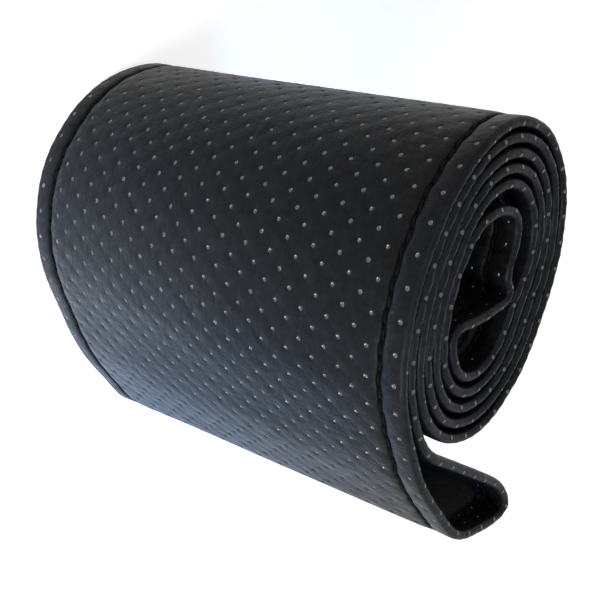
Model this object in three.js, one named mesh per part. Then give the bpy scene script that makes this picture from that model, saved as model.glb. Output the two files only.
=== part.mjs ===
// Steering wheel cover, a soft perforated leather ring with a sewn hem along both edges.
// It is shown as it is stored: the ring is pressed flat into two layers, rolled up, and stood on one end.
// Millimetres, +Z up. The origin is under the middle of the roll's bounding box, on the base.
import * as THREE from "three";

// The band
const bandWidth = 105; // from hem edge to hem edge, which is the height of the standing roll
const leatherThickness = 1.0;
const hemThickness = 2.2; // the edge folded back on itself: two leathers and the glue between them
const hemWidth = 7.5; // how far the folded flap reaches in from the edge
const crestFlat = 0.7; // the pressed flat along each folded edge, on which the roll stands

// The hem stitching, one strand in a groove along each edge
const stitchInset = 5.5; // from the hem edge to the middle of the groove
const threadDiameter = 0.5;
const threadClearance = 0.3;
const grooveFlare = 0.25; // how much wider the groove is at its mouth, on each side
const threadSides = 4;

// The joining seam, where the strip's two ends meet and make the ring
const seamAngle = 192; // degrees round the roll, on the inner layer
const seamNotchDepth = 0.4;
const seamNotchWidth = 1.2;
const seamStitchReach = 2.2; // how far the zigzag goes to each side of the seam
const seamStitchPitch = 6.4; // along the seam, for one zig and one zag
const seamStitchMargin = 2; // bare seam between the zigzag and each hem flap
const seamStitchSteps = 6; // along one zig and one zag

// The roll: layers are numbered by depth, 0 on the outside, and one turn of the flattened ring is two layers
const rollRadius = 32.3; // mean radius of the outermost layer's middle
const rollOval = 3.05; // the roll is this much longer and shorter than round
const rollOvalLean = 118; // degrees, the long axis, clockwise from -X
const layerGap = 0.35; // air between two hems where the roll is tightest
const layerSlack = 1.15; // extra air between two layers where the roll is loosest
const tightestAt = 34; // degrees, clockwise from -X
const coilStep = 12; // degrees between two stations of the coil

// The end that the roll stands on is pressed a little out of round, which fades out towards the other end.
const endPress = 1.1; // how far its outer layer bulges and draws in
const endPressSides = 3;

// The stretches that follow the coil's formula, in degrees
const outerCoil = { from: -24, to: 1044 };
const innerCoil = { from: -24, to: 780 };

// Points off the coil are pairs: an angle, and how far the leather stands outside its own layer there.
// The tail is the flattened ring's outer fold, which opens into a loop that stands off the roll.
const tailFold = [
  [-102.9, 20.8],
  [-103, 23],
  [-100.7, 23.6],
];
const tailOuter = [
  [-96.8, 22.5],
  [-89.6, 20],
  [-80.4, 16.8],
  [-69.9, 9.9],
  [-57.2, 4.8],
  [-44, 1.3],
];
const tailInner = [
  [-38.7, 0.3],
  [-47.2, 0.9],
  [-56.6, 1.3],
  [-72.9, 3.2],
  [-86.2, 8],
  [-96.5, 14.8],
  [-101.1, 19.9],
];

// The core: the inner fold doubles back as a flap across the middle of the roll, and hangs from a wall.
const coreFold = [
  [1053.8, -0.4],
  [1061.3, -0.3],
  [1065.7, -1.8],
];
const flapSag = 0.5; // how far the flap bows down between its fold and its corner
const flapShares = [1 / 3, 2 / 3]; // where it is marked, as shares of the way from its fold to its corner
const flapCorner = [
  [933, 0.3],
  [924, 0.9],
  [913.5, -0.1],
];
const coreWall = [
  [896.6, -3.9],
  [867.4, -7.2],
  [856.4, -5.5],
  [847, -3.4],
  [836.5, -2.4],
  [822, -2.4],
  [802, -1.5],
];
const bendSteps = 2; // steps between two points off the coil

const radians = Math.PI / 180;
const UP = new THREE.Vector3(0, 0, 1);

// Distance between the middles of two neighbouring layers, at an angle round the roll.
function spacing(angle) {
  const looseness = (1 - Math.cos((angle - tightestAt) * radians)) / 2;
  return hemThickness + layerGap + layerSlack * looseness;
}

// A point of the roll's cross-section, at an angle clockwise from -X, moved out from its layer by outward.
function rollPoint(angle, depth, outward = 0) {
  const outline = rollRadius + rollOval * Math.cos(2 * (angle - rollOvalLean) * radians);
  const radius = outline - depth * spacing(angle) + outward;
  return new THREE.Vector3(-radius * Math.cos(angle * radians), radius * Math.sin(angle * radians), 0);
}

// The ring's outer layer winds inwards by two depths a turn, and its inner layer lies one depth below it.
const outerLayer = (angle, outward) => rollPoint(angle, angle / 180, outward);
const innerLayer = (angle, outward) => rollPoint(angle, 1 + angle / 180, outward);

// Each mark is a point that the leather's middle passes through, and how many steps lead on from it.
function coilMarks(coil, layer) {
  const marks = [];
  for (let angle = coil.from; angle <= coil.to; angle += coilStep)
    marks.push({ at: layer(angle), steps: 1, seam: layer === innerLayer && angle === seamAngle });
  return marks;
}

function bendMarks(pairs, layer) {
  return pairs.map(([angle, outward]) => ({ at: layer(angle, outward), steps: bendSteps }));
}

// The flap's run from its fold to its corner.
function flapMarks(from, to) {
  return flapShares.map((share) => {
    const at = from.clone().lerp(to, share);
    at.y -= flapSag * Math.sin(share * Math.PI);
    return { at, steps: bendSteps };
  });
}

// The closed run of the leather's middle: in along the outer layer, round the core, back along the inner one.
function ringMarks() {
  const fold = bendMarks(coreFold, outerLayer);
  const corner = bendMarks(flapCorner, innerLayer);
  return [
    ...bendMarks(tailFold, outerLayer),
    ...bendMarks(tailOuter, outerLayer),
    ...coilMarks(outerCoil, outerLayer),
    ...fold,
    ...flapMarks(fold.at(-1).at, corner[0].at),
    ...corner,
    ...bendMarks(coreWall, innerLayer),
    ...coilMarks(innerCoil, innerLayer).reverse(),
    ...bendMarks(tailInner, innerLayer),
  ];
}

// Stations of the sweep: where each is, and the direction that the leather's good face looks there.
function ringStations() {
  const marks = ringMarks();
  const curve = new THREE.CatmullRomCurve3(marks.map((mark) => mark.at), true, "centripetal");
  const found = [];
  marks.forEach(({ steps, seam }, i) => {
    for (let k = 0; k < steps; k++) {
      const share = (i + k / steps) / marks.length;
      const at = curve.getPoint(share);
      const along = curve.getTangent(share);
      const good = new THREE.Vector3().crossVectors(UP, along);
      const sides = seam ? [-1, 0, 1] : [0];
      for (const side of sides) {
        const moved = at.clone().addScaledVector(along, (side * seamNotchWidth) / 2);
        found.push({ at: moved, along, good, seam: Boolean(seam) && side === 0 });
      }
    }
  });
  return found;
}

// Where a point of the roll, as it is wound, goes when the standing end is pressed.
function pressed(point) {
  const angle = Math.atan2(point.y, -point.x);
  const bulge = (endPress / rollRadius) * Math.sin(endPressSides * angle);
  const scale = 1 + bulge * (1 - point.z / bandWidth);
  return new THREE.Vector3(point.x * scale, point.y * scale, point.z);
}

// Sweeps an outline of [x, y] pairs into one closed body: counterclockwise as seen looking back along the run.
// A frame is a place with a right and an up direction, and right x up points along the run.
function sweep(frames, outlineAt, closed) {
  const positions = [];
  const index = [];
  const count = outlineAt(frames[0]).length;
  for (const frame of frames)
    for (const [x, y] of outlineAt(frame)) {
      const wound = frame.at.clone().addScaledVector(frame.right, x).addScaledVector(frame.up, y);
      positions.push(...pressed(wound).toArray());
    }
  const runs = closed ? frames.length : frames.length - 1;
  for (let i = 0; i < runs; i++) {
    const here = i * count;
    const next = ((i + 1) % frames.length) * count;
    for (let j = 0; j < count; j++) {
      const k = (j + 1) % count;
      index.push(here + j, here + k, next + k, here + j, next + k, next + j);
    }
  }
  if (!closed) {
    const last = (frames.length - 1) * count;
    for (let j = 1; j < count - 1; j++) index.push(0, j + 1, j, last, last + j, last + j + 1);
  }
  const geometry = new THREE.BufferGeometry();
  geometry.setAttribute("position", new THREE.Float32BufferAttribute(positions, 3));
  geometry.setIndex(index);
  geometry.computeVertexNormals();
  return geometry;
}

function roundOutline(radius, sides, x, y) {
  return Array.from({ length: sides }, (_, i) => {
    const turn = (2 * Math.PI * i) / sides;
    return [x + radius * Math.cos(turn), y + radius * Math.sin(turn)];
  });
}

// One hem of the band's section, as [towards the good face, up from the edge] pairs:
// from the flap's cut edge on the back, round the folded edge, to the inner lip of the stitch groove.
function hemOutline() {
  const good = hemThickness / 2;
  const nose = (hemThickness - crestFlat) / 2;
  const bend = nose * (1 - Math.SQRT1_2);
  const grooveFloor = good - threadDiameter - threadClearance;
  const floorHalf = threadDiameter / 2 + threadClearance;
  const mouthHalf = floorHalf + grooveFlare;
  return [
    [good - leatherThickness, hemWidth],
    [-good, hemWidth],
    [-good, nose],
    [-good + bend, bend],
    [-good + nose, 0],
    [good - nose, 0],
    [good - bend, bend],
    [good, nose],
    [good, stitchInset - mouthHalf],
    [grooveFloor, stitchInset - floorHalf],
    [grooveFloor, stitchInset + floorHalf],
    [good, stitchInset + mouthHalf],
  ];
}

function bandOutline({ seam }) {
  const lower = hemOutline();
  const upper = hemOutline().reverse().map(([x, y]) => [x, bandWidth - y]);
  const goodFace = hemThickness / 2 - (seam ? seamNotchDepth : 0);
  return [...lower, ...upper].map(([x, y]) => [Math.min(x, goodFace), y]);
}

function leatherBand(frames) {
  return sweep(frames, bandOutline, true);
}

// The strand lies in its groove, level with the good face.
function hemThread(frames, height) {
  const strand = roundOutline(threadDiameter / 2, threadSides, (hemThickness - threadDiameter) / 2, height);
  return sweep(frames, () => strand, true);
}

// The zigzag that holds the two butted ends together, across the back of the seam between the hem flaps.
function seamThread(seam) {
  const start = hemWidth + seamStitchMargin;
  const stitches = Math.round((bandWidth - 2 * start) / seamStitchPitch);
  const pitch = (bandWidth - 2 * start) / stitches;
  const back = leatherThickness - hemThickness / 2 + threadClearance + threadDiameter / 2;
  const middle = seam.at.clone().addScaledVector(seam.good, -back);
  const frames = [];
  for (let i = 0; i <= stitches * seamStitchSteps; i++) {
    const turn = (2 * Math.PI * i) / seamStitchSteps;
    const height = start + (pitch * i) / seamStitchSteps;
    const at = middle.clone().addScaledVector(seam.along, seamStitchReach * Math.sin(turn)).setZ(height);
    const slope = (2 * Math.PI * seamStitchReach * Math.cos(turn)) / pitch;
    const run = UP.clone().addScaledVector(seam.along, slope).normalize();
    frames.push({ at, right: new THREE.Vector3().crossVectors(seam.good, run), up: seam.good });
  }
  const strand = roundOutline(threadDiameter / 2, threadSides, 0, 0);
  return sweep(frames, () => strand, false);
}

const leather = new THREE.MeshStandardMaterial({ color: 0x1c1d20, roughness: 0.5, metalness: 0 });
const thread = new THREE.MeshStandardMaterial({ color: 0x0d0d0e, roughness: 0.8, metalness: 0 });

function named(name, geometry, material) {
  const mesh = new THREE.Mesh(geometry, material);
  mesh.name = name;
  return mesh;
}

const ring = ringStations();
const frames = ring.map((station) => ({ ...station, right: station.good, up: UP }));

const group = new THREE.Group();
group.add(
  named("leather_band", leatherBand(frames), leather),
  named("lower_hem_thread", hemThread(frames, stitchInset), thread),
  named("upper_hem_thread", hemThread(frames, bandWidth - stitchInset), thread),
  named("seam_thread", seamThread(ring.find((station) => station.seam)), thread),
);

// Moves the roll so that the middle of its base is the origin.
const middle = new THREE.Box3().setFromObject(group).getCenter(new THREE.Vector3());
group.position.set(-middle.x, -middle.y, 0);

export default group;
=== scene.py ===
# The looks of a rolled leather steering wheel cover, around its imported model.
# The leather is first laid out flat: a point is given by how far it lies along the ring and across the sheet,
# and there is a point wherever a dimple, a stitch or an edge needs one. Every point is then carried to its
# place on the roll. The row frame is in metres, with +Z up.
import math

import bpy
import numpy as np
from mathutils import Matrix, Vector
from mathutils.geometry import delaunay_2d_cdt


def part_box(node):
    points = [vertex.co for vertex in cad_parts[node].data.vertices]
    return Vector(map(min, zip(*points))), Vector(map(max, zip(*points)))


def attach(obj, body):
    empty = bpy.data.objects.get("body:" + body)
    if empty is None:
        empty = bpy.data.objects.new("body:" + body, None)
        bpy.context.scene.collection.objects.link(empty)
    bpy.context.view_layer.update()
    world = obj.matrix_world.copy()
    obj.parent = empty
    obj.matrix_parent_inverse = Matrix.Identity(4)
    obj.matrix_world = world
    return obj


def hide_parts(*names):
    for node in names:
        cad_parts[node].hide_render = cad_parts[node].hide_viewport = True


MM = 0.001  # the sizes below are in millimetres, and put_mesh turns them into metres

# The band and its hems, as the model has them
BAND_WIDTH = 105.0
LEATHER = 1.0
HEM_THICKNESS = 2.2
HEM_WIDTH = 7.5
STITCH_INSET = 5.5
SLIT = 0.9  # how far the glue stops short of the flap's cut edge
GOOD = HEM_THICKNESS / 2  # from the leather's middle line out to the good face
BACK = GOOD - LEATHER  # and to the suede between the hems

# The sheet runs across from the lower flap's cut edge round the folded edge, or nose, up the good face,
# and down the upper flap in the same way.
FLAP_RUN = HEM_WIDTH - GOOD
NOSE_RUN = math.pi * GOOD
FACE_RUN = BAND_WIDTH - 2 * GOOD
SHEET_RUN = 2 * (FLAP_RUN + NOSE_RUN) + FACE_RUN
FACE_GROOVE = FLAP_RUN + NOSE_RUN - GOOD + STITCH_INSET  # where the stitching is, from either cut edge
FLAP_GROOVE = HEM_WIDTH - STITCH_INSET

# The roll, as the model has it: angles in degrees clockwise from -X, layers numbered by depth
ROLL_RADIUS = 32.3
ROLL_OVAL = 3.05
ROLL_OVAL_LEAN = 118
LAYER_GAP = 0.35
LAYER_SLACK = 1.15
TIGHTEST_AT = 34
COIL_STEP = 12
END_PRESS = 1.1
END_PRESS_SIDES = 3
OUTER_COIL = (-24, 1044)
INNER_COIL = (-24, 780)
SEAM_ANGLE = 192
FLAP_SAG = 0.5

# The folds, as pairs of an angle and how far out from the layer there
TAIL_FOLD = [(-102.9, 20.8), (-103, 23), (-100.7, 23.6)]
TAIL_OUTER = [(-96.8, 22.5), (-89.6, 20), (-80.4, 16.8), (-69.9, 9.9), (-57.2, 4.8), (-44, 1.3)]
TAIL_INNER = [
    (-38.7, 0.3),
    (-47.2, 0.9),
    (-56.6, 1.3),
    (-72.9, 3.2),
    (-86.2, 8),
    (-96.5, 14.8),
    (-101.1, 19.9),
]
CORE_FOLD = [(1053.8, -0.4), (1061.3, -0.3), (1065.7, -1.8)]
FLAP_CORNER = [(933, 0.3), (924, 0.9), (913.5, -0.1)]
CORE_WALL = [
    (896.6, -3.9),
    (867.4, -7.2),
    (856.4, -5.5),
    (847, -3.4),
    (836.5, -2.4),
    (822, -2.4),
    (802, -1.5),
]

# Where layers are open to view
COVERED_AT = 338  # degrees on the outer layer, where the tail's inner layer starts to cover it
CORE_OPENS = -5  # marks of the path, on from the core's fold
CORE_SHUTS = 16  # marks on from the start of the inner layer's coil
LOOP_SHUTS = 1  # marks on from the start of the outer layer's coil
LOOP_OPENS = -1  # marks on from the start of the tail's inner layer

# The path's sampling, and how much the leather rounds off a sharp turn
STEPS_PER_MARK = 16
PATH_STEP = 0.2
TURN_SOFTENING = 1.0

# The dimples: a diamond lattice of round pits, on rulings across the sheet
RULING_PITCH = 2.93
DOT_PITCH = 6.3  # along a ruling; the next ruling's dots lie half way between
FIRST_DOT = 2.1  # below the upper edge, on an even ruling
LATTICE_START = 3.8  # along the ring from the tail's fold, where the flat sheet is cut open
PIT_DEPTH = 0.32
PIT_RINGS = [  # from the rim inwards: radius, points, share of the depth, slope of the wall
    (0.66, 8, -0.04, 0.12),
    (0.49, 7, 0.35, 0.95),
    (0.27, 4, 0.88, 0.6),
]
HIDDEN_PIT_RINGS = [  # the same for covered layers, whose dots show only on the rims and in the core
    (0.66, 6, -0.04, 0.12),
    (0.49, 6, 0.45, 0.95),
]
PIT_FLOOR = 0.2  # the share of the depth from which the pressed leather is smooth
PIT_REACH = 0.78  # no other point lies nearer to a dot's middle
PIT_JITTER = 0.07
PIT_VARIETY = 0.18
EDGE_PIT = 0.45  # on a folded edge a pit is stretched flatter, to this share of its depth
DOT_MARGIN = 1.0  # no dot nearer than this to a cut edge
NOSE_LAP = 1.0  # dots of the folded edge reach this far round onto the flap
RIM_REACH = 7.0  # in hidden layers, only dots this near an edge are cut
CORE_REACH = 26.0  # in the open core they are cut this far down

# The stitching: one stitch to each ruling
GROOVE_DEPTH = 0.5
GROOVE_HOLE = 0.25  # extra depth at each needle hole
GROOVE_WIDTH = 0.62
GROOVE_SAG = 0.12
GROOVE_SAG_WIDTH = 2.2
FLAP_GROOVE_SHARE = 0.6  # of the depth on the good face
HOLE_SHARPNESS = 3
PUCKER_DEPTH = 0.1
PUCKER_WIDTH = 1.6
SEAM_DEPTH = 0.4
SEAM_WIDTH = 0.45
STITCH_SWAY = 0.14
SLOW_SWAY = 0.35  # of the sway from stitch to stitch
SLOW_WAVES = [(31, 0), (83, 1)]  # times round the ring, phase
STITCH_STEPS = 8
STITCH_SLANT = 0.12
THREAD = 0.5
THREAD_SIDES = 6
THREAD_LIFT = 0.42  # how far the thread stands over the groove, and dives at a hole, in thread widths
THREAD_DIVE = 1.1

# The leather's unevenness: height, times round the ring, phase, and for the waves the rise that adds a radian
WAVES = [(0.045, 23, 0, 17), (0.04, 41, 2, -11), (0.03, 67, 4, 7)]
EDGE_WAVES = [(0.08, 19, 1), (0.05, 47, 0), (0.03, 101, 2)]
EDGE_DRAWN_IN = 0.16
EDGE_REACH = 14.0  # how far from an edge its wander fades out
UPPER_EDGE_OFFSET = 17.0  # along the ring, so that the two edges don't wander alike

# The flat sheet's rows of points along an edge: how far they lie from the groove on the good face or the flap
GROOVE_ROWS = (0, 0.45, -0.45)
FINE_GROOVE_ROWS = (0.95, -0.95)  # only where the groove shows
FLAP_ROWS = (-0.5, 0, 0.5)
NOSE_ROWS = (0.02, 0.2, 0.4, 0.6, 0.8, 0.98)  # shares of the way round the nose
EVEN_START = -2.0  # the even points start below the sheet, and those outside it are dropped
GROOVE_CLEAR = 1.35  # they keep this far from the groove, the nose, the flap's groove and the cut edge
NOSE_CLEAR = 0.3
FLAP_CLEAR = 0.9
CUT_CLEAR = 0.5
DECIMALS = 6  # that tell two flat points apart
MERGE_NEAR = 1e-5  # the triangulation would merge points nearer than this
NEAR = 1e-4  # well under the distance between any two rows
NORMAL_STEP = 0.05  # each way from a point, to find how the surface leans
SHARP_EDGE = 75  # degrees

# The suede beside a hem, from the flap's cut edge through the slit behind the flap: how far out from the
# leather's middle line, and how much higher than the hem is wide
HEM_BACK = [
    (-GOOD + 0.12, 0.05),
    (BACK - 0.28, 0.05),
    (BACK - 0.2, -0.1),
    (BACK - 0.14, -SLIT),
    (BACK, -SLIT),
    (BACK, -0.05),
    (BACK, 2.5),
]
BACK_SPANS = 6  # rows of faces on the plain back between the two hems

# The camera, in millimetres in the row frame
CAMERA_AT = (-160.81, 88.49, 189.40)
CAMERA_RIGHT = (0.63649, -0.00785, 0.77124)
CAMERA_FORWARD = (0.70745, -0.39239, -0.58783)
CAMERA_LENS = 59.59
CAMERA_SENSOR = 36.0
CAMERA_CLIP = (0.01, 20)  # metres

# Looks: colours are linear
LEATHER_DARK = (0.0025, 0.0025, 0.0028)
LEATHER_LIGHT = (0.0055, 0.0056, 0.006)
LEATHER_ROUGH = 0.4
LEATHER_ROUGH_RANGE = 0.05
LEATHER_IOR = 1.17
# Painted shade: the leather's colour is darkened to this in the stitch grooves
GROOVE_SHADE_COLOUR = (0.0008, 0.0008, 0.0009)
PIT_COLOUR = (0.004, 0.004, 0.004)
PIT_ROUGH = 0.25
PIT_IOR = 1.8
SUEDE_DARK = (0.03, 0.03, 0.031)
SUEDE_LIGHT = (0.06, 0.06, 0.061)
SUEDE_ROUGH = 0.95
SUEDE_SPECULAR = 0.2
THREAD_DARK = (0.001, 0.001, 0.001)
THREAD_LIGHT = (0.0025, 0.0025, 0.0025)
THREAD_ROUGH = 0.75
THREAD_SPECULAR = 0.08
FLOOR_COLOUR = (0.8, 0.8, 0.8)
FLOOR_ROUGH = 0.9
FLOOR_LIFT = 0.65  # what the camera sees of the floor is this much brighter than the light makes it
FLOOR_REACH = 3.0  # metres
WHITE = (1.0, 1.0, 1.0)
ROOM_STRENGTH = 0.2

# Places and sizes in metres, powers in watts, spreads in degrees
LAMPS = [
    {"name": "key", "at": (-0.83, -0.35, 0.46), "aim": (0, 0, 0.05), "size": 0.6, "power": 10.5},
    {"name": "fill", "at": (-0.55, 0.75, 0.8), "aim": (0, 0, 0), "size": 0.8, "power": 4},
    {
        "name": "window",
        "at": (-0.08, -0.15, 0.42),
        "aim": (-0.047, -0.05, 0),
        "size": 0.2,
        "power": 0.29,
        "colour": (0.17, 0.49, 1.0),
        "spread": 32,
        "glints": False,
    },
    {
        "name": "pool",
        "at": (-0.1, 0.0, 0.35),
        "aim": (-0.052, 0, 0),
        "size": 0.05,
        "power": 0.045,
        "colour": (0.95, 0.98, 1.0),
        "spread": 18,
        "glints": False,
    },
]

RANDOM = np.random.default_rng(7)


def spacing(angle):
    """Distance between the middles of two neighbouring layers, at an angle round the roll."""
    looseness = (1 - math.cos(math.radians(angle - TIGHTEST_AT))) / 2
    return HEM_THICKNESS + LAYER_GAP + LAYER_SLACK * looseness


def roll_point(angle, depth, outward=0.0):
    """A point of the roll's cross-section, moved out from its layer by outward."""
    outline = ROLL_RADIUS + ROLL_OVAL * math.cos(2 * math.radians(angle - ROLL_OVAL_LEAN))
    radius = outline - depth * spacing(angle) + outward
    return np.array([-radius * math.cos(math.radians(angle)), radius * math.sin(math.radians(angle))])


def outer_layer(angle, outward=0.0):
    return roll_point(angle, angle / 180, outward)


def inner_layer(angle, outward=0.0):
    return roll_point(angle, 1 + angle / 180, outward)


def ring_marks():
    """The points that the leather's middle passes through, and where the named places are among them."""
    marks, places = [], {}

    def add(name, points):
        places[name] = len(marks)
        marks.extend(points)

    coil = range(OUTER_COIL[0], OUTER_COIL[1] + 1, COIL_STEP)
    back = range(INNER_COIL[1], INNER_COIL[0] - 1, -COIL_STEP)
    fold = [outer_layer(*pair) for pair in CORE_FOLD]
    corner = [inner_layer(*pair) for pair in FLAP_CORNER]
    add("tail", [outer_layer(*pair) for pair in TAIL_FOLD + TAIL_OUTER])
    add("outer_coil", [outer_layer(angle) for angle in coil])
    add("core_fold", fold)
    flap = []
    for share in (1 / 3, 2 / 3):
        sag = FLAP_SAG * math.sin(share * math.pi)
        flap.append(fold[-1] * (1 - share) + corner[0] * share - np.array([0, sag]))
    add("flap", flap + corner)
    add("core_wall", [inner_layer(*pair) for pair in CORE_WALL])
    add("inner_coil", [inner_layer(angle) for angle in back])
    add("tail_inner", [inner_layer(*pair) for pair in TAIL_INNER])
    places["covered"] = places["outer_coil"] + (COVERED_AT - OUTER_COIL[0]) / COIL_STEP
    places["core_open"] = places["core_fold"] + CORE_OPENS
    places["core_shut"] = places["inner_coil"] + CORE_SHUTS
    places["seam"] = places["inner_coil"] + (INNER_COIL[1] - SEAM_ANGLE) / COIL_STEP
    places["loop_shut"] = places["outer_coil"] + LOOP_SHUTS
    places["loop_open"] = places["tail_inner"] + LOOP_OPENS
    return np.array(marks), places


def along_line(points):
    """Distances along a closed line of points, with the whole length last."""
    steps = np.linalg.norm(np.roll(points, -1, 0) - points, axis=1)
    return np.concatenate([[0], np.cumsum(steps)])


def smooth_line(marks):
    """Points on the closed centripetal curve through the marks, STEPS_PER_MARK from each mark to the next."""
    before, after, beyond = np.roll(marks, 1, 0), np.roll(marks, -1, 0), np.roll(marks, -2, 0)
    d0, d1, d2 = (
        np.sqrt(np.linalg.norm(b - a, axis=1, keepdims=True))
        for a, b in ((before, marks), (marks, after), (after, beyond))
    )
    t1 = ((marks - before) / d0 - (after - before) / (d0 + d1) + (after - marks) / d1) * d1
    t2 = ((after - marks) / d1 - (beyond - marks) / (d1 + d2) + (beyond - after) / d2) * d1
    share = np.arange(STEPS_PER_MARK)[None, :, None] / STEPS_PER_MARK
    square = (3 * (after - marks) - 2 * t1 - t2)[:, None]
    cube = (2 * (marks - after) + t1 + t2)[:, None]
    points = marks[:, None] + t1[:, None] * share + square * share**2 + cube * share**3
    return points.reshape(-1, 2)


class Ring:
    """The closed line of the leather's middle, by the distance along it from where the lattice starts."""

    def __init__(self):
        marks, places = ring_marks()
        fine = smooth_line(marks)
        s = along_line(fine)
        count = int(s[-1] / PATH_STEP)
        even = np.arange(count) * s[-1] / count
        closed = np.vstack([fine, fine[:1]])
        line = np.column_stack([np.interp(even, s, closed[:, k]) for k in (0, 1)])
        waves = np.fft.fftfreq(count, s[-1] / count)
        soft = np.exp(-2 * (math.pi * waves * TURN_SOFTENING) ** 2)
        line = np.column_stack([np.fft.ifft(np.fft.fft(line[:, k]) * soft).real for k in (0, 1)])
        self.s = along_line(line)
        self.length = self.s[-1]
        self.line = np.vstack([line, line[:1]])
        along = unit(np.roll(line, -1, 0) - np.roll(line, 1, 0))
        self.along = np.vstack([along, along[:1]])
        self.places = {}
        for name, place in places.items():
            at = np.interp(s[int(place * STEPS_PER_MARK)], even, self.s[:-1])
            self.places[name] = (at - LATTICE_START) % self.length

    def middle(self):
        """The middle of the roll's bounding box, seen from above."""
        places = np.arange(0, self.length, PATH_STEP)
        outs = np.full(len(places), GOOD)
        ends = np.vstack([carry(self, places, outs, np.full(len(places), z)) for z in (0, BAND_WIDTH)])[:, :2]
        return (ends.min(0) + ends.max(0)) / 2

    def frame(self, s):
        """Places in the cross-section at distances s, and the direction that the good face looks there."""
        s = np.mod(s + LATTICE_START, self.length)
        at = np.column_stack([np.interp(s, self.s, self.line[:, k]) for k in (0, 1)])
        along = unit(np.column_stack([np.interp(s, self.s, self.along[:, k]) for k in (0, 1)]))
        return at, np.column_stack([-along[:, 1], along[:, 0]])


def unit(vectors):
    """The vectors at length one, with a zero vector left as it is."""
    lengths = np.linalg.norm(vectors, axis=1, keepdims=True)
    return vectors / np.where(lengths > 0, lengths, 1)


def across_at(height):
    """How far across the sheet a height on the good face is."""
    return FLAP_RUN + NOSE_RUN + height - GOOD


def from_edge(u):
    """How far places across the sheet lie from the nearer cut edge."""
    return np.minimum(u, SHEET_RUN - u)


def section(u):
    """For distances u across the sheet: how far out towards the good face a point lies, its height,
    and the direction that the surface looks there, as its parts outward and upward."""
    half = from_edge(u)
    turn = np.clip((half - FLAP_RUN) / GOOD, 0, math.pi)
    out = -GOOD * np.cos(turn)
    rise = np.maximum(FLAP_RUN - half, 0) + np.maximum(half - FLAP_RUN - NOSE_RUN, 0)
    height = GOOD - GOOD * np.sin(turn) + rise
    upper = u > SHEET_RUN / 2
    sign = np.where(upper, -1.0, 1.0)
    height = np.where(upper, BAND_WIDTH - height, height)
    return out, height, -np.cos(turn), -np.sin(turn) * sign


def bump(x):
    return np.exp(-(x**2))


def hole(stitches):
    """1 at a needle hole and 0 half way to the next, by the number of stitches along."""
    return (0.5 + 0.5 * np.cos(2 * math.pi * stitches)) ** HOLE_SHARPNESS


def sway(s, ring, pitch):
    """How far the line of stitches strays towards the middle, most beside the dots that lie next to it."""
    slow = sum(np.sin(2 * math.pi * times * s / ring.length + phase) for times, phase in SLOW_WAVES)
    return STITCH_SWAY * (np.cos(math.pi * (s - 0.5 * pitch) / pitch) + SLOW_SWAY * slow)


def relief(s, u, ring, pitch):
    """Height of the surface over the plain section, without the dimples: the stitch grooves, the puckers
    that each stitch pulls into the folded edge, and the joining seam."""
    half = from_edge(u)
    holes = hole(s / pitch)
    face = half - FACE_GROOVE - sway(s, ring, pitch)
    groove = GROOVE_DEPTH + GROOVE_HOLE * holes
    depth = groove * bump(face / GROOVE_WIDTH)
    depth += GROOVE_SAG * bump(face / GROOVE_SAG_WIDTH)
    depth += FLAP_GROOVE_SHARE * groove * bump((half - FLAP_GROOVE) / GROOVE_WIDTH)
    depth += PUCKER_DEPTH * holes * bump((half - FLAP_RUN - NOSE_RUN / 2) / PUCKER_WIDTH)
    seam = bump((s - ring.places["seam"]) / SEAM_WIDTH) * (half > FLAP_RUN + NOSE_RUN)
    return -depth - SEAM_DEPTH * seam


def grooved(s, u, ring, pitch):
    """How far into a stitch groove each point lies, from 0 to 1."""
    half = from_edge(u)
    face = half - FACE_GROOVE - sway(s, ring, pitch)
    return np.maximum(bump(face / GROOVE_WIDTH), bump((half - FLAP_GROOVE) / GROOVE_WIDTH))


def undulation(s, height, ring):
    """Slow waves of the whole layer, small enough that no layer meets the next."""
    turn = 2 * math.pi * s / ring.length
    return sum(size * np.sin(times * turn + height / rise + phase) for size, times, phase, rise in WAVES)


def edge_wander(s, ring):
    """How far an edge stands back from its plane, always inwards."""
    turn = 2 * math.pi * s / ring.length
    return sum((size * np.sin(times * turn + phase) for size, times, phase in EDGE_WAVES), EDGE_DRAWN_IN)


def wandered(s, height, ring):
    """Heights with the two edges drawn in by their wander, and the middle left alone."""
    low = bump(height / EDGE_REACH) * edge_wander(s, ring)
    high = bump((BAND_WIDTH - height) / EDGE_REACH) * edge_wander(s + UPPER_EDGE_OFFSET, ring)
    return height + low - high


def pressed(at, height):
    """Where places in the cross-section go when the standing end is pressed a little out of round."""
    angle = np.arctan2(at[:, 1], -at[:, 0])
    bulge = END_PRESS / ROLL_RADIUS * np.sin(END_PRESS_SIDES * angle)
    return at * (1 + bulge * (1 - height / BAND_WIDTH))[:, None]


def carry(ring, s, out, height):
    """Points at distances s along the ring, out from its middle line, at a height."""
    at, good = ring.frame(s)
    return np.column_stack([pressed(at + good * out[:, None], height), height])


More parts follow.
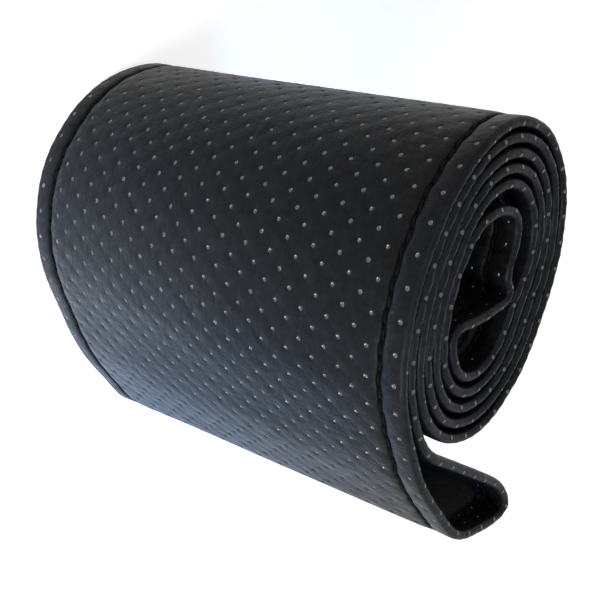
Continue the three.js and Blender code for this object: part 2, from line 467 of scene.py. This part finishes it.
class Lattice:
    """The dots' places on the flat sheet: rulings across it, each half a dot off from the next."""

    def __init__(self, ring):
        self.count = 2 * round(ring.length / RULING_PITCH / 2)
        self.pitch = ring.length / self.count
        self.places = ring.places

    def nearest(self, s, u):
        """The middle of the dot nearest to each place, on the ruling that the place is in."""
        ruling = np.clip(np.floor(s / self.pitch), 0, self.count - 1)
        top = across_at(BAND_WIDTH - FIRST_DOT) + DOT_PITCH / 2 * (ruling % 2)
        return (ruling + 0.5) * self.pitch, top - np.round((top - u) / DOT_PITCH) * DOT_PITCH

    def shown(self, s):
        """Where the good face shows from outside."""
        return (s < self.places["covered"]) | (s > self.places["tail_inner"])

    def open_core(self, s):
        return (s > self.places["core_open"]) & (s < self.places["core_shut"])

    def folded_open(self, s):
        """Where the hems' flaps show too, in the tail's loop and in the core."""
        loop = (s < self.places["loop_shut"]) | (s > self.places["loop_open"])
        return loop | self.open_core(s)

    def cut(self, s, u):
        """Whether the dot there is cut as a pit. Those deep between two layers stay flat, where nothing
        shows."""
        half = from_edge(u)
        off_flap = half > FLAP_RUN - NOSE_LAP
        reach = np.where(self.open_core(s), CORE_REACH, RIM_REACH)
        near_edge = half < FLAP_RUN + NOSE_RUN + reach
        return ((self.shown(s) | near_edge) & off_flap | self.folded_open(s)) & (half > DOT_MARGIN)

    def dots(self):
        """Every dot that is cut."""
        rulings = (np.arange(self.count) + 0.5) * self.pitch
        s, u = np.meshgrid(rulings, np.arange(0, SHEET_RUN, DOT_PITCH), indexing="ij")
        s, u = self.nearest(s.ravel(), u.ravel())
        kept = self.cut(s, u)
        return s[kept], u[kept]

    def clear_of_dots(self, s, u):
        """Which points lie outside every cut dot."""
        dot_s, dot_u = self.nearest(s, u)
        return ~self.cut(dot_s, dot_u) | (np.hypot(s - dot_s, u - dot_u) > PIT_REACH)


def dot_points(lattice):
    """The flat points of the dots, as flat_points gives them."""
    s, u = lattice.dots()
    number = np.arange(1, len(s) + 1)
    rows = [np.column_stack([s, u, np.ones(len(s)), number, np.zeros((len(s), 2))])]
    shown = lattice.shown(s)
    for rings, kept in ((PIT_RINGS, shown), (HIDDEN_PIT_RINGS, ~shown)):
        for radius, points, share, slope in rings:
            for k in range(points):
                turn = 2 * math.pi * (k + 0.5) / points
                away = np.array([math.cos(turn), math.sin(turn)])
                around = np.column_stack([s[kept] + radius * away[0], u[kept] + radius * away[1]])
                depth = np.full(len(around), share)
                lean = np.full((len(around), 2), -slope * away)
                rows.append(np.column_stack([around, depth, number[kept], lean]))
    return np.vstack(rows)


def edge_points(ring, lattice):
    """Points along the folded edges and the stitch grooves: distances along and across."""
    quarter = np.arange(4 * lattice.count + 1) * lattice.pitch / 4
    fine = lattice.shown(quarter) | lattice.open_core(quarter)
    even = np.arange(len(quarter)) % 2 == 0
    rows = []
    for offsets, s in ((GROOVE_ROWS, quarter[fine | even]), (FINE_GROOVE_ROWS, quarter[fine])):
        rows += [(s, FACE_GROOVE + offset + sway(s, ring, lattice.pitch)) for offset in offsets]
    s = quarter[even]
    levels = [FLAP_RUN + NOSE_RUN * share for share in NOSE_ROWS]
    levels += [FLAP_GROOVE + offset for offset in FLAP_ROWS]
    rows += [(s, np.full(len(s), level)) for level in levels]
    return np.vstack([np.column_stack([s, u]) for s, half in rows for u in (half, SHEET_RUN - half)])


def even_points(lattice):
    """Points between the dots, all over the sheet but where rows of edge points are."""
    ruling = (np.arange(lattice.count) + 0.5) * lattice.pitch
    between = np.arange(lattice.count + 1) * lattice.pitch
    across = np.arange(EVEN_START, SHEET_RUN + DOT_PITCH, DOT_PITCH / 2)
    s, u = (grid.ravel() for grid in np.meshgrid(ruling, across, indexing="ij"))
    u = lattice.nearest(s, u)[1] + DOT_PITCH / 2 * (np.arange(s.size) % 2)
    rows = [np.column_stack([s, u])]
    across = lattice.nearest(between[:1], across)[1] + DOT_PITCH / 4
    s, u = (grid.ravel() for grid in np.meshgrid(between, across, indexing="ij"))
    dense = lattice.shown(s) | lattice.open_core(s)
    rows.append(np.column_stack([s[dense], u[dense]]))
    points = np.vstack(rows)
    half = from_edge(points[:, 1])
    on_groove = np.abs(half - FACE_GROOVE) < GROOVE_CLEAR
    on_nose = (half > FLAP_RUN - NOSE_CLEAR) & (half < FLAP_RUN + NOSE_RUN + NOSE_CLEAR)
    on_flap = (np.abs(half - FLAP_GROOVE) < FLAP_CLEAR) | (half < CUT_CLEAR)
    return points[~(on_groove | on_nose | on_flap)]


def flat_points(ring, lattice):
    """All points of the good sheet, flat, as rows: distances along and across, the share of a pit's depth,
    the dot's number, and how the pit's wall leans along and across."""
    plain = np.vstack([edge_points(ring, lattice), even_points(lattice)])
    plain = np.unique(plain.round(DECIMALS), axis=0)
    plain = plain[lattice.clear_of_dots(plain[:, 0], plain[:, 1])]
    rim = np.arange(2 * lattice.count + 1) * lattice.pitch / 2
    for u in (0.0, SHEET_RUN):
        plain = np.vstack([plain, np.column_stack([rim, np.full(len(rim), u)])])
    return np.vstack([dot_points(lattice), np.column_stack([plain, np.zeros((len(plain), 4))])])


def flat_triangles(points):
    """Triangles between the flat points."""
    joined = delaunay_2d_cdt([Vector(p) for p in points[:, :2]], [], [], 0, MERGE_NEAR)
    if len(joined[0]) != len(points):
        raise RuntimeError("two points of the flat sheet coincide")
    return np.array(joined[2])


def surface(ring, lattice, s, u, depth=0.0):
    """Places on the good sheet, sunk by a depth."""
    out, height, face_out, face_up = section(u)
    lift = relief(s, u, ring, lattice.pitch) - depth
    out = out + lift * face_out
    height = height + lift * face_up
    out += undulation(s, height, ring)
    return carry(ring, s, out, wandered(s, height, ring))


def good_sheet(ring, lattice):
    """The good face with its pits, grooves and folded edges: its flat points, triangles, places and
    normals."""
    flat = flat_points(ring, lattice)
    s, u, share, number, lean_s, lean_u = flat.T
    number = number.astype(int)
    half = from_edge(u)
    size = 1 + PIT_VARIETY * RANDOM.standard_normal(number.max() + 1)[number]
    size *= 1 - (1 - EDGE_PIT) * bump((half - FLAP_RUN - NOSE_RUN / 2) / NOSE_RUN)
    stray = PIT_JITTER * RANDOM.standard_normal((number.max() + 1, 2))
    stray[0] = 0
    s = s + stray[number, 0]
    u = u + stray[number, 1]
    places = surface(ring, lattice, s, u, PIT_DEPTH * share * size)
    along = surface(ring, lattice, s + NORMAL_STEP, u) - surface(ring, lattice, s - NORMAL_STEP, u)
    across = surface(ring, lattice, s, u + NORMAL_STEP) - surface(ring, lattice, s, u - NORMAL_STEP)
    plain = unit(np.cross(across, along))
    run = unit(along)
    rise = np.cross(run, plain)
    normals = unit(plain + (size * lean_s)[:, None] * run + (size * lean_u)[:, None] * rise)
    normals[half < NEAR] = 0
    return flat, flat_triangles(flat), places, normals


def back_rows():
    """The suede's outline from the upper flap's cut edge to the lower one's, as places out and up."""
    lower = [(out, HEM_WIDTH + rise) for out, rise in HEM_BACK]
    start = lower[-1][1]
    span = (BAND_WIDTH - 2 * start) / BACK_SPANS
    middle = [(BACK, start + span * k) for k in range(1, BACK_SPANS)]
    upper = [(out, BAND_WIDTH - height) for out, height in lower]
    return upper + middle[::-1] + lower[::-1]


def put_mesh(name, points, faces):
    """A mesh object from points in millimetres."""
    mesh = bpy.data.meshes.new(name)
    mesh.from_pydata((points * MM).tolist(), [], [list(map(int, face)) for face in faces])
    mesh.polygons.foreach_set("use_smooth", [True] * len(mesh.polygons))
    piece = bpy.data.objects.new(name, mesh)
    bpy.context.collection.objects.link(piece)
    return piece


def leather_band(ring, lattice, shift):
    """The whole band: the good sheet with its ends joined, and the suede back between the cut edges."""
    flat, faces, places, normals = good_sheet(ring, lattice)
    in_pit = (flat[faces, 2] > PIT_FLOOR).all(1)
    start, end = flat[:, 0] < NEAR, flat[:, 0] > ring.length - NEAR
    twin = np.arange(len(flat))
    first, last = np.flatnonzero(start), np.flatnonzero(end)
    twin[last[np.argsort(flat[last, 1])]] = first[np.argsort(flat[first, 1])]
    faces = twin[faces][:, ::-1]

    columns = np.arange(2 * lattice.count) * lattice.pitch / 2
    rows = back_rows()
    back = []
    for out, height in rows:
        level = np.full(len(columns), float(height))
        outs = out + undulation(columns, level, ring)
        back.append(carry(ring, columns, outs, wandered(columns, level, ring)))

    def rim(level):
        found = np.flatnonzero((np.abs(flat[:, 1] - level) < NEAR) & ~end)
        return found[np.argsort(flat[found, 0])]

    suede = len(flat) + np.arange(len(rows) * len(columns)).reshape(len(rows), -1)
    lines = [rim(SHEET_RUN), *suede, rim(0.0)]
    strips = []
    for one, other in zip(lines, lines[1:]):
        strips.append(np.column_stack([one, other, np.roll(other, -1), np.roll(one, -1)]))
    quads = np.vstack(strips)[:, ::-1]
    points = np.vstack([places, *back])
    points[:, :2] += shift
    used = np.unique(np.concatenate([faces.ravel(), quads.ravel()]))
    renumber = np.full(len(points), -1)
    renumber[used] = np.arange(len(used))
    band = put_mesh("leather_band_skin", points[used], [*renumber[faces], *renumber[quads]])
    slots = [*np.where(in_pit, PIT_SLOT, LEATHER_SLOT), *[SUEDE_SLOT] * len(quads)]
    band.data.polygons.foreach_set("material_index", slots)
    plain = np.zeros(len(points) - len(flat))
    # How far into a stitch groove each point lies: the leather's shader makes it matt there and darkens its
    # colour as painted shade
    inside = np.concatenate([grooved(flat[:, 0], flat[:, 1], ring, lattice.pitch), plain])
    groove = band.data.attributes.new("groove", "FLOAT", "POINT")
    groove.data.foreach_set("value", inside[used].astype(np.float32))
    band.data.set_sharp_from_angle(angle=math.radians(SHARP_EDGE))
    normals = np.vstack([normals, np.zeros((len(plain), 3))])
    band.data.normals_split_custom_set_from_vertices(normals[used].tolist())
    return band


def strand(centres, right, up):
    """Points and quads of a closed loop of thread round a closed run of centres."""
    turn = 2 * math.pi * np.arange(THREAD_SIDES) / THREAD_SIDES
    offset = np.cos(turn)[None, :, None] * right[:, None] + np.sin(turn)[None, :, None] * up[:, None]
    points = (centres[:, None] + THREAD / 2 * offset).reshape(-1, 3)
    here = np.arange(len(points)).reshape(-1, THREAD_SIDES)
    after = np.roll(here, -1, 0)
    quads = np.stack([here, np.roll(here, -1, 1), np.roll(after, -1, 1), after], axis=-1)
    return points, quads.reshape(-1, 4)


def hem_stitches(name, ring, lattice, shift, upper):
    """The lockstitch of one hem: a row of stitches on the good face, and another on the folded flap."""
    steps = STITCH_STEPS * lattice.count
    s = np.arange(steps) * ring.length / steps
    share = (s / lattice.pitch) % 1
    holes = hole(share)
    slant = STITCH_SLANT * (2 * share - 1) * (1 - holes)
    points, quads, base = [], [], 0
    for line in (FACE_GROOVE + sway(s, ring, lattice.pitch), FLAP_GROOVE):
        half = line + slant
        u = SHEET_RUN - half if upper else half
        out, height, face_out, _ = section(u)
        lift = relief(s, u, ring, lattice.pitch) + THREAD * (THREAD_LIFT - THREAD_DIVE * holes)
        out = out + lift * face_out + undulation(s, height, ring)
        centres = carry(ring, s, out, wandered(s, height, ring))
        along = unit(np.roll(centres, -1, 0) - np.roll(centres, 1, 0))
        side = unit(np.cross(along, np.array([0.0, 0.0, 1.0])))
        loop_points, loop_quads = strand(centres, side, np.cross(side, along))
        points.append(loop_points)
        quads.append(loop_quads + base)
        base += len(loop_points)
    points = np.vstack(points)
    points[:, :2] += shift
    return put_mesh(name, points, np.vstack(quads)[:, ::-1])


class Nodes:
    """The node tree of a material or the world, with short ways to add and join nodes."""

    def __init__(self, owner, shader="Principled BSDF"):
        owner.use_nodes = True
        self.owner = owner
        self.tree = owner.node_tree
        self.shader = self.tree.nodes[shader]

    def feed(self, socket, value):
        """Joins another node's output to a socket, or sets the socket to a number or colour."""
        if isinstance(value, bpy.types.NodeSocket):
            self.tree.links.new(value, socket)
        elif socket.type == "RGBA":
            socket.default_value = (*value, 1)
        else:
            socket.default_value = value

    def shade(self, **values):
        """Feeds the shader's sockets, with _ for each space in their names."""
        for name, value in values.items():
            self.feed(self.shader.inputs[name.replace("_", " ")], value)

    def add(self, kind, **values):
        """A new node, with values for its sockets or settings."""
        node = self.tree.nodes.new(kind)
        for name, value in values.items():
            if name in node.inputs:
                self.feed(node.inputs[name], value)
            else:
                setattr(node, name, value)
        return node

    def place(self, stretch=(1, 1, 1)):
        """The object's own coordinates, stretched."""
        place = self.add("ShaderNodeTexCoord").outputs["Object"]
        return self.add("ShaderNodeMapping", Vector=place, Scale=stretch).outputs["Vector"]

    def noise(self, scale, detail, stretch=(1, 1, 1)):
        node = self.add("ShaderNodeTexNoise", Scale=scale, Detail=detail, Vector=self.place(stretch))
        return node.outputs["Fac"]

    def greater(self, one, two):
        node = self.add("ShaderNodeMath", operation="MAXIMUM")
        self.feed(node.inputs[0], one)
        self.feed(node.inputs[1], two)
        return node.outputs[0]

    def ranged(self, value, source=(0.0, 1.0), target=(0.0, 1.0)):
        """A value carried from one range to another, and held at its ends."""
        node = self.add("ShaderNodeMapRange", Value=value)
        for name, number in zip(("From Min", "From Max", "To Min", "To Max"), (*source, *target)):
            node.inputs[name].default_value = number
        return node.outputs["Result"]

    def mixed(self, share, one, two):
        """A colour between two colours or sockets."""
        node = self.add("ShaderNodeMix", data_type="RGBA")
        self.feed(node.inputs["Factor"], share)
        for socket, value in zip((s for s in node.inputs if s.type == "RGBA"), (one, two)):
            self.feed(socket, value)
        return next(socket for socket in node.outputs if socket.type == "RGBA")

    def bump(self, height, strength, depth, below=None):
        """A bumped normal, over another one where it is given; the depth is in metres."""
        node = self.add("ShaderNodeBump", Strength=strength, Distance=depth, Height=height)
        if below is not None:
            self.feed(node.inputs["Normal"], below)
        return node.outputs["Normal"]

    def seen(self):
        """1 for what the camera sees, directly or by reflection, and 0 for the light that falls on things."""
        rays = self.add("ShaderNodeLightPath").outputs
        seen = self.greater(rays["Is Camera Ray"], rays["Is Glossy Ray"])
        return self.greater(seen, rays["Is Transmission Ray"])


def leather_material():
    """Black smooth leather: a fine pebble grain with soft creases, and matt in the stitch grooves, where its
    colour is also darkened as painted shade.
    """
    nodes = Nodes(bpy.data.materials.new("black_leather"))
    cells = nodes.add(
        "ShaderNodeTexVoronoi", feature="SMOOTH_F1", Scale=2100, Smoothness=0.5, Vector=nodes.place()
    )
    mottle = nodes.noise(scale=650, detail=4)
    creases = nodes.noise(scale=170, detail=3, stretch=(1, 1, 0.35))
    grain = nodes.bump(cells.outputs["Distance"], strength=0.35, depth=0.00012)
    grain = nodes.bump(mottle, strength=0.5, depth=0.0003, below=grain)
    grain = nodes.bump(creases, strength=0.25, depth=0.0012, below=grain)
    groove = nodes.add("ShaderNodeAttribute", attribute_name="groove").outputs["Fac"]
    groove = nodes.ranged(groove, source=(0.15, 0.6))
    tone = nodes.mixed(nodes.ranged(mottle, source=(0.35, 0.65)), LEATHER_DARK, LEATHER_LIGHT)
    rough_range = (LEATHER_ROUGH - LEATHER_ROUGH_RANGE, LEATHER_ROUGH + LEATHER_ROUGH_RANGE)
    rough = nodes.ranged(nodes.noise(scale=300, detail=3), source=(0.3, 0.7), target=rough_range)
    # In the stitch grooves the base colour is darkened as painted shade, and the raised roughness makes the
    # leather matt
    nodes.shade(
        Base_Color=nodes.mixed(groove, tone, GROOVE_SHADE_COLOUR),
        Roughness=nodes.greater(rough, groove),
        IOR=LEATHER_IOR,
        Normal=grain,
    )
    return nodes.owner


def suede_material():
    """The leather's bare back: dull, fibrous and near black."""
    nodes = Nodes(bpy.data.materials.new("suede_back"))
    fibres = nodes.noise(scale=1500, detail=5, stretch=(1, 1, 0.4))
    nodes.shade(
        Base_Color=nodes.mixed(nodes.ranged(fibres, source=(0.3, 0.7)), SUEDE_DARK, SUEDE_LIGHT),
        Roughness=SUEDE_ROUGH,
        Specular_IOR_Level=SUEDE_SPECULAR,
        Normal=nodes.bump(fibres, strength=0.8, depth=0.0003),
    )
    return nodes.owner


def pit_material():
    """The leather pressed smooth and shiny in the dimples."""
    nodes = Nodes(bpy.data.materials.new("pressed_leather"))
    mottle = nodes.noise(scale=900, detail=3)
    nodes.shade(
        Base_Color=nodes.mixed(nodes.ranged(mottle, source=(0.35, 0.65)), LEATHER_DARK, PIT_COLOUR),
        Roughness=PIT_ROUGH,
        IOR=PIT_IOR,
        Normal=nodes.bump(mottle, strength=0.25, depth=0.0001),
    )
    return nodes.owner


BAND_MATERIALS = (leather_material, suede_material, pit_material)
LEATHER_SLOT, SUEDE_SLOT, PIT_SLOT = range(len(BAND_MATERIALS))


def thread_material():
    """Black twisted thread."""
    nodes = Nodes(bpy.data.materials.new("black_thread"))
    twist = nodes.noise(scale=3500, detail=2)
    nodes.shade(
        Base_Color=nodes.mixed(nodes.ranged(twist, source=(0.35, 0.65)), THREAD_DARK, THREAD_LIGHT),
        Roughness=THREAD_ROUGH,
        Specular_IOR_Level=THREAD_SPECULAR,
        Normal=nodes.bump(twist, strength=0.7, depth=0.0002),
    )
    return nodes.owner


def floor_material():
    """A pale floor that keeps the shadow. What the camera sees of it directly or reflected is lifted to
    white."""
    nodes = Nodes(bpy.data.materials.new("pale_floor"))
    nodes.shade(
        Base_Color=FLOOR_COLOUR,
        Roughness=FLOOR_ROUGH,
        Specular_IOR_Level=0.0,
        Emission_Color=WHITE,
        Emission_Strength=nodes.ranged(nodes.seen(), target=(0.0, FLOOR_LIFT)),
    )
    return nodes.owner


def camera():
    """The photograph's view, solved from the roll's straight edges."""
    data = bpy.data.cameras.new("photo_view")
    data.sensor_width, data.lens = CAMERA_SENSOR, CAMERA_LENS
    data.clip_start, data.clip_end = CAMERA_CLIP
    eye = bpy.data.objects.new("photo_view", data)
    bpy.context.collection.objects.link(eye)
    right = Vector(CAMERA_RIGHT).normalized()
    forward = Vector(CAMERA_FORWARD).normalized()
    up = right.cross(forward).normalized()
    right = forward.cross(up)
    axes = Matrix((right, up, -forward)).transposed().to_4x4()
    eye.matrix_world = Matrix.Translation(Vector(CAMERA_AT) * MM) @ axes
    bpy.context.scene.camera = eye


def lamp(name, at, aim, size, power, colour=WHITE, spread=180, glints=True):
    """A soft square lamp. Without glints it shows in no reflection."""
    data = bpy.data.lights.new(name, "AREA")
    data.size = size
    data.energy, data.color = power, colour
    data.spread = math.radians(spread)
    light = bpy.data.objects.new(name, data)
    bpy.context.collection.objects.link(light)
    light.location = at
    light.rotation_mode = "QUATERNION"
    light.rotation_quaternion = (Vector(aim) - Vector(at)).to_track_quat("-Z", "Y")
    light.visible_camera = False
    light.visible_glossy = glints


def studio():
    """A pale floor, plain soft light, and a room that looks white and lights the object faintly."""
    corners = np.array([(-1, -1, 0), (1, -1, 0), (1, 1, 0), (-1, 1, 0)])
    floor = put_mesh("floor", corners * FLOOR_REACH / MM, [(0, 1, 2, 3)])
    floor.data.materials.append(floor_material())
    room = Nodes(bpy.data.worlds.new("room"), "Background")
    room.shade(Color=WHITE, Strength=room.ranged(room.seen(), target=(ROOM_STRENGTH, 1.0)))
    bpy.context.scene.world = room.owner
    for one in LAMPS:
        lamp(**one)
    bpy.context.scene.view_settings.view_transform = "Standard"


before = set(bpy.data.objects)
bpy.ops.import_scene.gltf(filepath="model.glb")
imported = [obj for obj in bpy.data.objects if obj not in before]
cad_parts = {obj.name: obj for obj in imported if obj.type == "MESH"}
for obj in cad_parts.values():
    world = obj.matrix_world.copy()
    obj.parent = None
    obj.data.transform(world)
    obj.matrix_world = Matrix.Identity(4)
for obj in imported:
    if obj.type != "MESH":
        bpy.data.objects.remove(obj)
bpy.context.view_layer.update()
camera()
ring = Ring()
lattice = Lattice(ring)
low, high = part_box("leather_band")
shift = np.array([(low.x + high.x) / 2, (low.y + high.y) / 2]) / MM - ring.middle()

band = leather_band(ring, lattice, shift)
for material in BAND_MATERIALS:
    band.data.materials.append(material())
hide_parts("leather_band")
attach(band, "root")

thread = thread_material()
for side in ("lower", "upper"):
    stitches = hem_stitches(f"{side}_hem_stitches", ring, lattice, shift, side == "upper")
    stitches.data.materials.append(thread)
    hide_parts(f"{side}_hem_thread")
    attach(stitches, "root")
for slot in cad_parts["seam_thread"].material_slots:
    slot.material = thread
studio()
